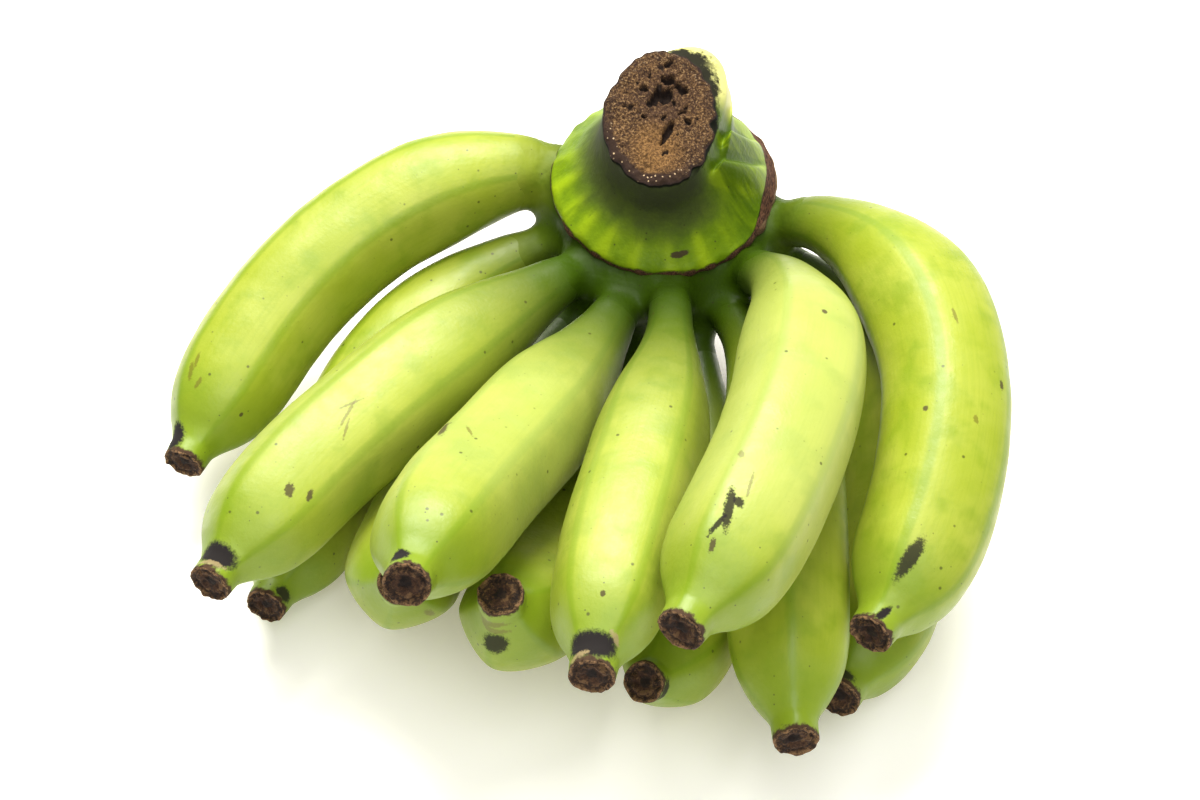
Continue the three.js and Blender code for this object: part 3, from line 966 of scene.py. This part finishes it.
def peel_material(name, highlight_paleness, marks=()):
    """The skin of one finger, with its own marks: (kind, from tip, angle, radius, ...)."""
    sh = Shader(name)
    straight = sh.vector_value("straight")
    from_joint = sh.value("from_joint")
    ridge = sh.value("ridge")
    from_tip = sh.third(straight)
    body = sh.value("body")
    colour = peel_colour(sh, sh.place, body, from_tip, ridge, straight)
    # Painted highlight: the body is made paler towards pale green.
    painted_highlight = sh.times(sh.range(from_tip, 14, 50, 0, highlight_paleness), body)
    colour = sh.mix(painted_highlight, colour, HIGHLIGHT_PALE_GREEN)

    dots = specks(sh, sh.place, 260, 0.17, 0.15)
    fine = specks(sh, sh.place, 620, 0.20, 0.10)
    dense = sh.range(from_joint, 34, -2)
    dense = sh.plus(dense, sh.range(from_tip, 40, 8, 0, 0.8))
    fine = sh.times(fine, sh.plus(0.4, dense), clamp=True)
    colour = sh.tint(colour, srgb(62, 62, 14), dots, 0.75)
    colour = sh.tint(colour, srgb(58, 56, 20), fine, 0.8)

    grooves = sh.noise(sh.stretch(straight, (1.6, 1.6, 0.06)), 1.0, 2, 0.5)
    height = skin_height(sh, grooves)
    roughness = sh.range(sh.noise(sh.place, 120, 3, 0.6), 0.3, 0.7, 0.36, 0.50)

    dull = 0.0
    for mark in marks:
        kind, where = mark[0], mark[1:]
        mask = blotch(sh, straight, *where)
        if kind == "char":
            colour = sh.mix(mask, colour, CHAR)
            dull = sh.most(dull, mask)
            height = sh.minus(height, sh.times(mask, 0.8))
        elif kind == "bruise":
            colour = sh.tint(colour, BRUISE, mask, 0.92)
            dull = sh.most(dull, sh.times(mask, 0.8))
        elif kind == "scar":
            colour = sh.tint(colour, DRY_BROWN, mask, 0.85)
            dull = sh.most(dull, sh.times(mask, 0.6))
        elif kind == "scuff":
            colour = sh.tint(colour, SCUFF, mask, 0.6)
        elif kind == "pale":
            colour = sh.tint(colour, PALE_NICK, mask, 0.8)

    # The skin dries to brown at the very end, with an uneven edge.
    uneven = sh.wander(sh.place, 420, 4, 0.65, 5.0)
    reach = sh.plus(from_tip, uneven)
    dry = sh.range(reach, 1.9, 0.7)
    bark = sh.mix(sh.noise(sh.place, 900, 3, 0.6), srgb(38, 26, 18), srgb(84, 60, 38))
    colour = sh.mix(dry, colour, bark)
    dull = sh.most(dull, dry)
    roughness = sh.mix(dull, roughness, (0.95, 0.95, 0.95, 1))
    return sh.finish(colour, roughness, sh.bump(height, 0.00035, 0.5), PEEL_SPECULAR)


def nib_material():
    """The dried face of a blossom end: a rim with a pale painted highlight, a dark groove and a dark
    middle.
    """
    sh = Shader("blossom_face")
    share = sh.value("face")
    grain = sh.noise(sh.place, 1500, 4, 0.7)
    wander = sh.wander(sh.place, 420, 3, 0.6, 0.6)
    ring = sh.plus(share, wander)
    colour = sh.mix(sh.range(grain, 0.4, 0.62), srgb(34, 24, 18), srgb(96, 70, 46))
    colour = sh.mix(sh.range(ring, 0.62, 0.5, 0, 0.6), colour, srgb(62, 40, 28))
    mottle = sh.noise(sh.place, 260, 3, 0.7)
    colour = sh.mix(sh.range(mottle, 0.52, 0.64, 0, 0.75), colour, srgb(24, 18, 16))
    colour = sh.mix(sh.range(mottle, 0.46, 0.36, 0, 0.45), colour, srgb(128, 98, 64))
    colour = sh.mix(sh.range(ring, 0.36, 0.2, 0, 0.85), colour, srgb(20, 15, 13))
    groove = sh.times(sh.range(ring, 0.66, 0.72), sh.range(ring, 0.84, 0.76))
    colour = sh.tint(colour, srgb(34, 24, 20), groove, 0.75)
    # Painted highlight: a pale band along the raised rim.
    pale = sh.times(sh.range(ring, 0.86, 0.95), sh.range(grain, 0.35, 0.6))
    colour = sh.tint(colour, srgb(158, 122, 84), pale, 0.6)
    height = sh.plus(grain, sh.times(sh.noise(sh.place, 700, 3, 0.6), 1.2))
    return sh.finish(colour, 0.85, sh.bump(height, 0.0006, 0.8), 0.25)


def base_material():
    """The fused stalks under the collar: the neck's dark green, darker still in patches as painted shade,
    with black specks.
    """
    sh = Shader("crown_base_skin")
    body = sh.value("body")
    colour = peel_colour(sh, sh.place, body)
    # Painted shade under the collar: patches of darker green where the neck colour is.
    shade = sh.range(sh.noise(sh.place, 60, 3, 0.6), 0.35, 0.7, 0, 0.5)
    shade = sh.times(shade, sh.minus(1.0, body))
    colour = sh.mix(shade, colour, srgb(42, 62, 4))
    fine = specks(sh, sh.place, 620, 0.20, 0.10)
    dots = specks(sh, sh.place, 260, 0.16, 0.10)
    colour = sh.tint(colour, srgb(48, 46, 18), fine, 0.9)
    colour = sh.tint(colour, srgb(62, 60, 20), dots, 0.6)
    height = skin_height(sh)
    roughness = sh.range(sh.noise(sh.place, 120, 3, 0.6), 0.3, 0.7, 0.42, 0.58)
    return sh.finish(colour, roughness, sh.bump(height, 0.00035, 0.5), 0.16)


def cut_material(name, pits=True):
    """A dried, cut stem: grainy tan and brown fibres, with pits darkened by painted shade."""
    sh = Shader(name)
    grain = sh.noise(sh.place, 1500, 4, 0.75)
    mottle = sh.noise(sh.place, 190, 4, 0.65)
    colour = sh.mix(sh.range(mottle, 0.36, 0.66), srgb(74, 52, 34), srgb(104, 76, 46))
    dark = sh.range(grain, 0.52, 0.44)
    colour = sh.tint(colour, srgb(34, 22, 16), dark, 0.85)
    light = sh.range(grain, 0.55, 0.63)
    colour = sh.tint(colour, srgb(168, 136, 92), light, 0.7)
    pores = specks(sh, sh.place, 1100, 0.30, 0.35)
    colour = sh.tint(colour, srgb(30, 20, 15), pores, 0.7)
    height = sh.plus(grain, mottle)
    if pits:
        turned = sh.vector_value("turned")
        share = sh.value("share")
        golden = sh.range(sh.vector("DISTANCE", turned, (-1.0, -9.0, STEM_TOP)), 11, 2)
        fibre = sh.range(grain, 0.42, 0.6, 0.25, 0.75)
        colour = sh.mix(sh.times(golden, fibre), colour, srgb(142, 104, 58))
        dark_top = sh.range(sh.vector("DISTANCE", turned, (2.0, 5.0, STEM_TOP)), 12, 3)
        colour = sh.tint(colour, srgb(62, 42, 32), dark_top, 0.4)
        wander = sh.wander(sh.place, 300, 3, 0.6, 0.12)
        edge = sh.plus(share, wander)
        low_left = sh.range(sh.vector("DOT_PRODUCT", turned, (-0.5, -0.85, 0)), 2, 14)
        band = sh.times(sh.range(edge, 0.80, 0.87), sh.plus(0.35, low_left))
        colour = sh.mix(sh.times(band, 0.8, clamp=True), colour, srgb(50, 35, 27))
        bundle = specks(sh, sh.place, 900, 0.34, 0.55)
        pale = sh.times(bundle, sh.times(band, 0.8))
        colour = sh.mix(pale, colour, srgb(196, 168, 130))
        rim = sh.range(edge, 0.955, 0.99)
        colour = sh.tint(colour, srgb(40, 28, 26), rim, 0.85)
        # Painted shade in the pits: their insides are darkened.
        hollow = sh.value("pit")
        colour = sh.mix(sh.range(hollow, 0.1, 0.75, 0, 0.93), colour, srgb(26, 18, 15))
    return sh.finish(colour, 0.88, sh.bump(height, 0.0006, 0.8), 0.2)


def cap_material():
    """The collar and stem: bulges with painted highlight and painted shade between them, a saddle in
    painted shade below the stem, brown scar at the rim.
    """
    sh = Shader("collar_skin")
    turned = sh.vector_value("turned")
    height_on = sh.third(turned)
    around = sh.value("around")
    flat = sh.vector("MULTIPLY", turned, (1, 1, 0))
    radius = sh.vector("LENGTH", flat)
    patches = sh.noise(sh.place, 60, 3, 0.6)
    colour = sh.mix(sh.range(patches, 0.35, 0.65), srgb(98, 126, 10), srgb(120, 146, 16))
    bloom = sh.noise(sh.stretch(turned, (0.16, 0.16, 0.05)), 1.0, 3, 0.6)
    colour = sh.mix(sh.range(bloom, 0.42, 0.7, 0, 0.5), colour, srgb(78, 108, 12))
    # Painted highlight on the raised bulges of the collar and painted shade in the hollows between them.
    lift = sh.value("lift")
    colour = sh.mix(sh.range(lift, 0.1, 0.75, 0, 0.75), colour, srgb(158, 182, 22))
    colour = sh.mix(sh.range(lift, -0.2, -1.4, 0, 0.7), colour, srgb(70, 98, 6))
    right_front = sh.times(sh.range(around, 30, 58), sh.range(around, 122, 96))
    polar = sh.node("ShaderNodeCombineXYZ")
    sh.set(polar.inputs[0], sh.times(around, 0.14))
    sh.set(polar.inputs[1], sh.times(radius, 0.07))
    streaks = sh.noise(polar.outputs[0], 1.0, 3, 0.55)
    colour = sh.mix(sh.range(streaks, 0.5, 0.68, 0, 0.45), colour, srgb(84, 112, 8))
    # Painted shade on the right front of the collar, following the streaks.
    painted_shade_right_front = sh.times(right_front, sh.range(streaks, 0.36, 0.62, 0.3, 0.85))
    colour = sh.mix(painted_shade_right_front, colour, srgb(66, 92, 6))

    # The saddle below the stem, on the front and left: grey-purple painted shade of the overhanging stem,
    # darkest near the stem, with a duller finish.
    away_right = sh.range(around, 62, 30)
    away_left = sh.range(around, -150, -110)
    wander = sh.wander(sh.place, 110, 4, 0.65, 7.0)
    near = sh.plus(radius, wander)
    saddle = sh.times(sh.range(near, 30.5, 21), sh.times(away_right, away_left))
    colour = sh.tint(colour, srgb(62, 68, 38), saddle, 0.85)
    colour = sh.mix(sh.times(sh.range(near, 21.5, 17), saddle), colour, srgb(58, 62, 44))

    # The pale, almost clear side of the stem at the back right.
    high = sh.range(height_on, 16, 24)
    back = sh.times(sh.range(around, 96, 116), high)
    colour = sh.tint(colour, srgb(214, 210, 132), back, 0.9)
    char_noise = sh.wander(sh.place, 240, 4, 0.7, 7.0)
    level = sh.plus(height_on, char_noise)
    right_side = sh.range(around, 30, 48)
    charred = sh.times(sh.range(level, 32.5, 34.5), right_side)
    top = sh.times(sh.range(around, 122, 140), sh.range(around, 176, 166))
    charred_top = sh.times(sh.range(level, 32.0, 33.6), top)
    charred = sh.most(charred, charred_top)
    rim_line = sh.range(sh.plus(height_on, sh.times(char_noise, 0.12)), 35.0, 35.8)
    charred = sh.most(charred, rim_line)
    colour = sh.tint(colour, srgb(10, 9, 10), charred, 0.98)

    # The brown scar round the rim: a thin line, and a wide band on the right.
    wide = sh.times(sh.range(around, 44, 74), sh.range(around, 150, 128))
    edge = sh.plus(radius, sh.times(char_noise, 0.1))
    inner = sh.minus(34.95, sh.times(wide, 3.0))
    scar = sh.range(sh.minus(edge, inner), -0.12, 0.25)
    below = sh.times(sh.range(height_on, 0.2, -0.6), sh.range(height_on, -2.6, -1.6))
    scar = sh.most(scar, sh.times(below, sh.range(radius, 33.0, 33.8)))
    lines = sh.noise(sh.stretch(turned, (2.4, 0.5, 2.4)), 1.0, 3, 0.7)
    scar_colour = sh.mix(sh.range(lines, 0.38, 0.62), srgb(48, 30, 23), srgb(104, 72, 52))
    outer_line = sh.times(sh.range(edge, 34.9, 35.3), wide)
    scar_colour = sh.tint(scar_colour, srgb(150, 128, 92), outer_line, 0.5)
    colour = sh.mix(scar, colour, scar_colour)
    # Painted shade under the collar's rim: darker green beneath it.
    under = sh.range(height_on, -1.4, -2.6)
    colour = sh.tint(colour, srgb(46, 68, 6), under, 0.9)

    # A dark double mark near the front of the rim, and scattered specks.
    mark = sh.vector("SUBTRACT", turned, (4.6, -30.4, 4.0))
    u = sh.math("DIVIDE", sh.vector("DOT_PRODUCT", mark, (0.97, 0.25, 0)), 3.1)
    v = sh.math("DIVIDE", sh.vector("DOT_PRODUCT", mark, (-0.25, 0.97, 0)), 0.95)
    spot = sh.math("SQRT", sh.plus(sh.times(u, u), sh.times(v, v)))
    rough_edge = sh.wander(sh.place, 500, 3, 0.6, 1.4)
    spot = sh.range(sh.plus(spot, rough_edge), 1.15, 0.8)
    colour = sh.tint(colour, srgb(58, 36, 30), spot, 0.9)
    fine = specks(sh, sh.place, 520, 0.20, 0.08)
    colour = sh.tint(colour, srgb(52, 50, 20), fine, 0.8)

    broad = sh.noise(sh.place, 200, 3, 0.6)
    height = sh.plus(broad, sh.times(sh.noise(sh.place, 900, 2, 0.5), 0.3))
    height = sh.minus(height, sh.times(scar, sh.minus(1.4, lines)))
    roughness = sh.mix(scar, (0.45, 0.45, 0.45, 1), (0.75, 0.75, 0.75, 1))
    roughness = sh.mix(charred, roughness, (0.85, 0.85, 0.85, 1))
    dull = sh.most(sh.most(charred, scar), sh.times(saddle, 0.8))
    roughness = sh.mix(dull, roughness, (0.9, 0.9, 0.9, 1))
    return sh.finish(colour, roughness, sh.bump(height, 0.0005, 0.6), 0.18)


# -------------------- stage

FLOOR_HALF = 4.0              # m
FLOOR_GLOW = (1.0, 0.88, 0.78, 1)
FLOOR_GLOW_STRENGTH = 0.20
SKY_COLOUR = (1.0, 0.995, 0.97, 1)
SKY_STRENGTH = 0.24
LAMP_TARGET = (0, 0, 0.05)
# Lamps: name, place and width in metres, watts, colour.
LAMPS = [
    ("key", (-0.05, 0.62, 1.2), 1.0, 36, (1.0, 0.98, 0.93)),
    ("front", (0.12, -0.62, 1.25), 1.2, 14, (1.0, 1.0, 1.0)),
]


def floor_material():
    sh = Shader("floor_white")
    tone = sh.mix(sh.noise(sh.place, 3, 2, 0.5), srgb(250, 249, 246), srgb(252, 251, 249))
    sh.surface.inputs["Emission Color"].default_value = FLOOR_GLOW
    sh.surface.inputs["Emission Strength"].default_value = FLOOR_GLOW_STRENGTH
    return sh.finish(tone, 0.9, sh.bump(sh.noise(sh.place, 400, 2, 0.5), 0.0002, 0.1), 0.1)


def build_stage():
    half = FLOOR_HALF
    mesh = bpy.data.meshes.new("floor")
    mesh.from_pydata([(-half, -half, 0), (half, -half, 0), (half, half, 0), (-half, half, 0)],
                     [], [(0, 1, 2, 3)])
    mesh.materials.append(floor_material())
    floor = bpy.data.objects.new("floor", mesh)
    bpy.context.scene.collection.objects.link(floor)


def area_light(name, place, size, watts, colour):
    data = bpy.data.lights.new(name, "AREA")
    data.shape = "DISK"
    data.size = size
    data.energy = watts
    data.color = colour
    lamp = bpy.data.objects.new(name, data)
    bpy.context.scene.collection.objects.link(lamp)
    lamp.location = place
    aim = unit(np.array(LAMP_TARGET) - np.array(place))
    lamp.rotation_mode = "QUATERNION"
    lamp.rotation_quaternion = Vector(aim).to_track_quat("-Z", "Y")


def build_lights():
    world = bpy.data.worlds.new("studio")
    bpy.context.scene.world = world
    world.use_nodes = True
    sky = world.node_tree.nodes["Background"]
    sky.inputs["Color"].default_value = SKY_COLOUR
    sky.inputs["Strength"].default_value = SKY_STRENGTH
    for lamp in LAMPS:
        area_light(*lamp)
    bpy.context.scene.view_settings.view_transform = "Standard"


CAMERA_FROM_CROWN = (-19.7, -554.7, 554.2)     # mm from the collar's middle
CAMERA_LENS = 75.0
CAMERA_PITCH = 40.0                            # degrees from straight down


def build_camera():
    data = bpy.data.cameras.new("camera")
    data.lens = CAMERA_LENS
    data.sensor_width = 36
    camera = bpy.data.objects.new("camera", data)
    bpy.context.scene.collection.objects.link(camera)
    camera.location = (CENTRE + CAMERA_FROM_CROWN) * MM
    camera.rotation_euler = (math.radians(CAMERA_PITCH), 0, 0)
    bpy.context.scene.camera = camera


# -------------------- marks

# How much paler than the others the body of a finger is painted, as a painted highlight on its lit body.
HIGHLIGHT_PALENESS = {
    "upper_banana_2": 0.12, "upper_banana_3": 0.32, "upper_banana_4": 0.12, "upper_banana_5": 0.38,
}

# Marks on the skin: kind, mm from the tip, degrees round the finger, mm from its middle,
# length, width, turn, roughness, seed.
MARKS = {
    "upper_banana_1": [
        ("char", 5.0, 24, 6.0, 10, 6, 0, 0.3, 1), ("scuff", 24, 10, 16, 6, 1.5, 12, 0.5, 2),
        ("scuff", 21, -4, 15, 4.5, 1.3, -15, 0.5, 3), ("scuff", 28, 8, 17, 5, 1.1, 5, 0.5, 4),
        ("scar", 19, -70, 14.5, 1.6, 1.2, 0, 0.3, 5),
    ],
    "upper_banana_2": [
        ("char", 5.6, 4, 6.2, 7, 13, 0, 0.22, 1), ("pale", 2.4, 2, 6.0, 1.8, 8, 10, 0.5, 2),
        ("scar", 31, -29, 17.3, 4.5, 2.6, 30, 0.45, 3), ("scar", 34, -46, 17.5, 4, 1.6, 20, 0.4, 4),
        ("scuff", 61, -17, 18, 11, 0.9, 16, 0.6, 5), ("scuff", 64, -12, 18, 7, 0.8, -20, 0.6, 6),
        ("scuff", 57, -27, 18, 7, 0.8, 28, 0.6, 7),
    ],
    "upper_banana_3": [
        ("scar", 59, 39, 18, 11, 2.6, 18, 0.5, 1), ("char", 4.4, 34, 6.0, 4.5, 5.5, 0, 0.3, 2),
        ("scuff", 58, 12, 18, 6, 0.9, 40, 0.6, 3),
    ],
    "upper_banana_4": [
        ("char", 5.4, 6, 6.0, 8.0, 15, 0, 0.22, 1), ("pale", 2.0, 38, 5.6, 2.0, 6, 20, 0.5, 2),
        ("scar", 18.3, -2, 13.4, 1.7, 1.5, 0, 0.3, 3), ("pale", 8.6, -40, 7, 1.6, 4, -30, 0.5, 4),
    ],
    "upper_banana_5": [
        ("bruise", 31, -7, 17.6, 13, 2.6, 14, 0.5, 1), ("bruise", 25, -4, 17, 9, 1.5, -14, 0.55, 2),
        ("bruise", 34, -12, 17.6, 3.6, 2.4, 50, 0.5, 7), ("scar", 19, -8, 14.5, 4, 1.4, 10, 0.6, 3),
        ("scar", 108, -26, 18.3, 1.8, 1.8, 0, 0.4, 4),
        ("scuff", 48, 4, 18.5, 2.5, 1.6, 30, 0.4, 5), ("scuff", 40, -14, 18, 8, 0.8, 10, 0.6, 6),
    ],
    "upper_banana_6": [
        ("bruise", 20, -6, 15.2, 15, 4.0, -8, 0.35, 1), ("char", 3.4, -12, 6.0, 6, 2.4, -16, 0.35, 2),
        ("scar", 67, 18, 18.6, 1.8, 1.6, 0, 0.4, 3), ("scuff", 66, -27, 18.6, 2.4, 1.6, 20, 0.5, 4),
        ("scar", 79, -54, 18.6, 2.6, 1.6, 0, 0.5, 5), ("scuff", 97, -12, 18.6, 5, 1.0, 5, 0.6, 6),
    ],
    "lower_banana_1": [("bruise", 3.2, -62, 6.0, 4, 6, 0, 0.35, 1)],
    "lower_banana_2": [("scuff", 15, -135, 12, 5, 2, 0, 0.5, 1)],
    "lower_banana_3": [
        ("bruise", 11.6, 178, 10, 5.5, 7, 0, 0.35, 1), ("scuff", 5.6, 170, 6.4, 2.4, 9, 8, 0.5, 2),
        ("scuff", 7.8, 176, 7.5, 1.4, 9, -6, 0.5, 3),
    ],
    "lower_banana_4": [("bruise", 3.0, -100, 6.0, 4, 7, 0, 0.35, 1)],
    "lower_banana_5": [("scuff", 44, 12, 17.5, 5, 0.9, 12, 0.6, 2)],
    "lower_banana_6": [("bruise", 3.0, 20, 6.0, 4, 7, 0, 0.35, 1)],
}

# -------------------- assembly

nib = nib_material()
for number, name in enumerate(FINGER_NAMES):
    skin = peel_material(f"peel_{name}", HIGHLIGHT_PALENESS.get(name, 0.0), MARKS[name])
    build_finger(fingers[name], 100 + number, [skin, nib])
build_crown_base([base_material(), cut_material("lower_cut", pits=False)])
build_crown_cap([cap_material(), cut_material("stem_cut")])
build_stage()
build_lights()
build_camera()
